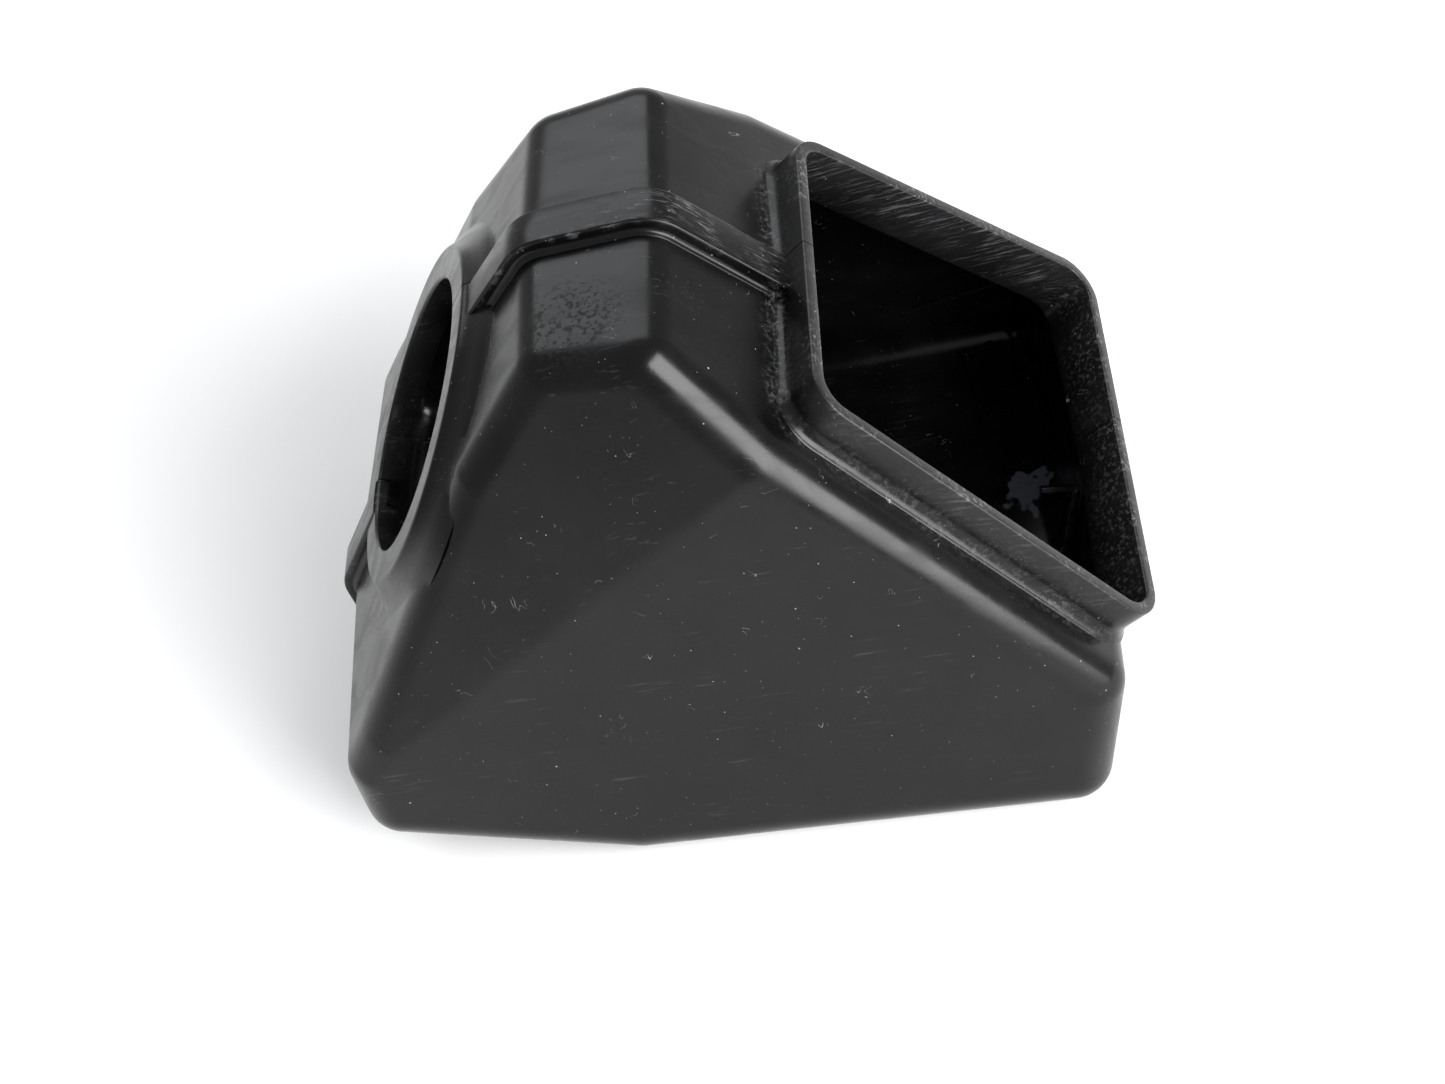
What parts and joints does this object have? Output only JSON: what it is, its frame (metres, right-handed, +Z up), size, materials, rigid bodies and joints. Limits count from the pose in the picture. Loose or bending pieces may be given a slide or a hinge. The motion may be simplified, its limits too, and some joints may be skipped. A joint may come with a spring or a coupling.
{
  "type": "air filter housing",
  "caption": "Black moulded air filter housing: a tapered faceted chamber with a round port on one sloping wall and a raised trapezoidal mouth on the other, its halves joined at a lapped seam.",
  "frame": {"origin": "middle of the flat base, on the middle plane of the seam", "axes": "+X along the side faces towards the foot of the mouth, +Y from the near shell to the far shell, +Z up from the flat base"},
  "size_m": [0.1842, 0.1436, 0.1351],
  "materials": {
    "near_shell_plastic": "satin black moulded plastic, lightly scuffed",
    "far_shell_plastic": "satin black moulded plastic, glossy inside",
    "seam_cement": "dull black cement bead"
  },
  "bodies": {
    "root": {"near_shell": "near_shell_plastic", "far_shell": "far_shell_plastic", "top_seam_bead": "seam_cement", "bottom_seam_bead": "seam_cement"}
  },
  "joints": []
}
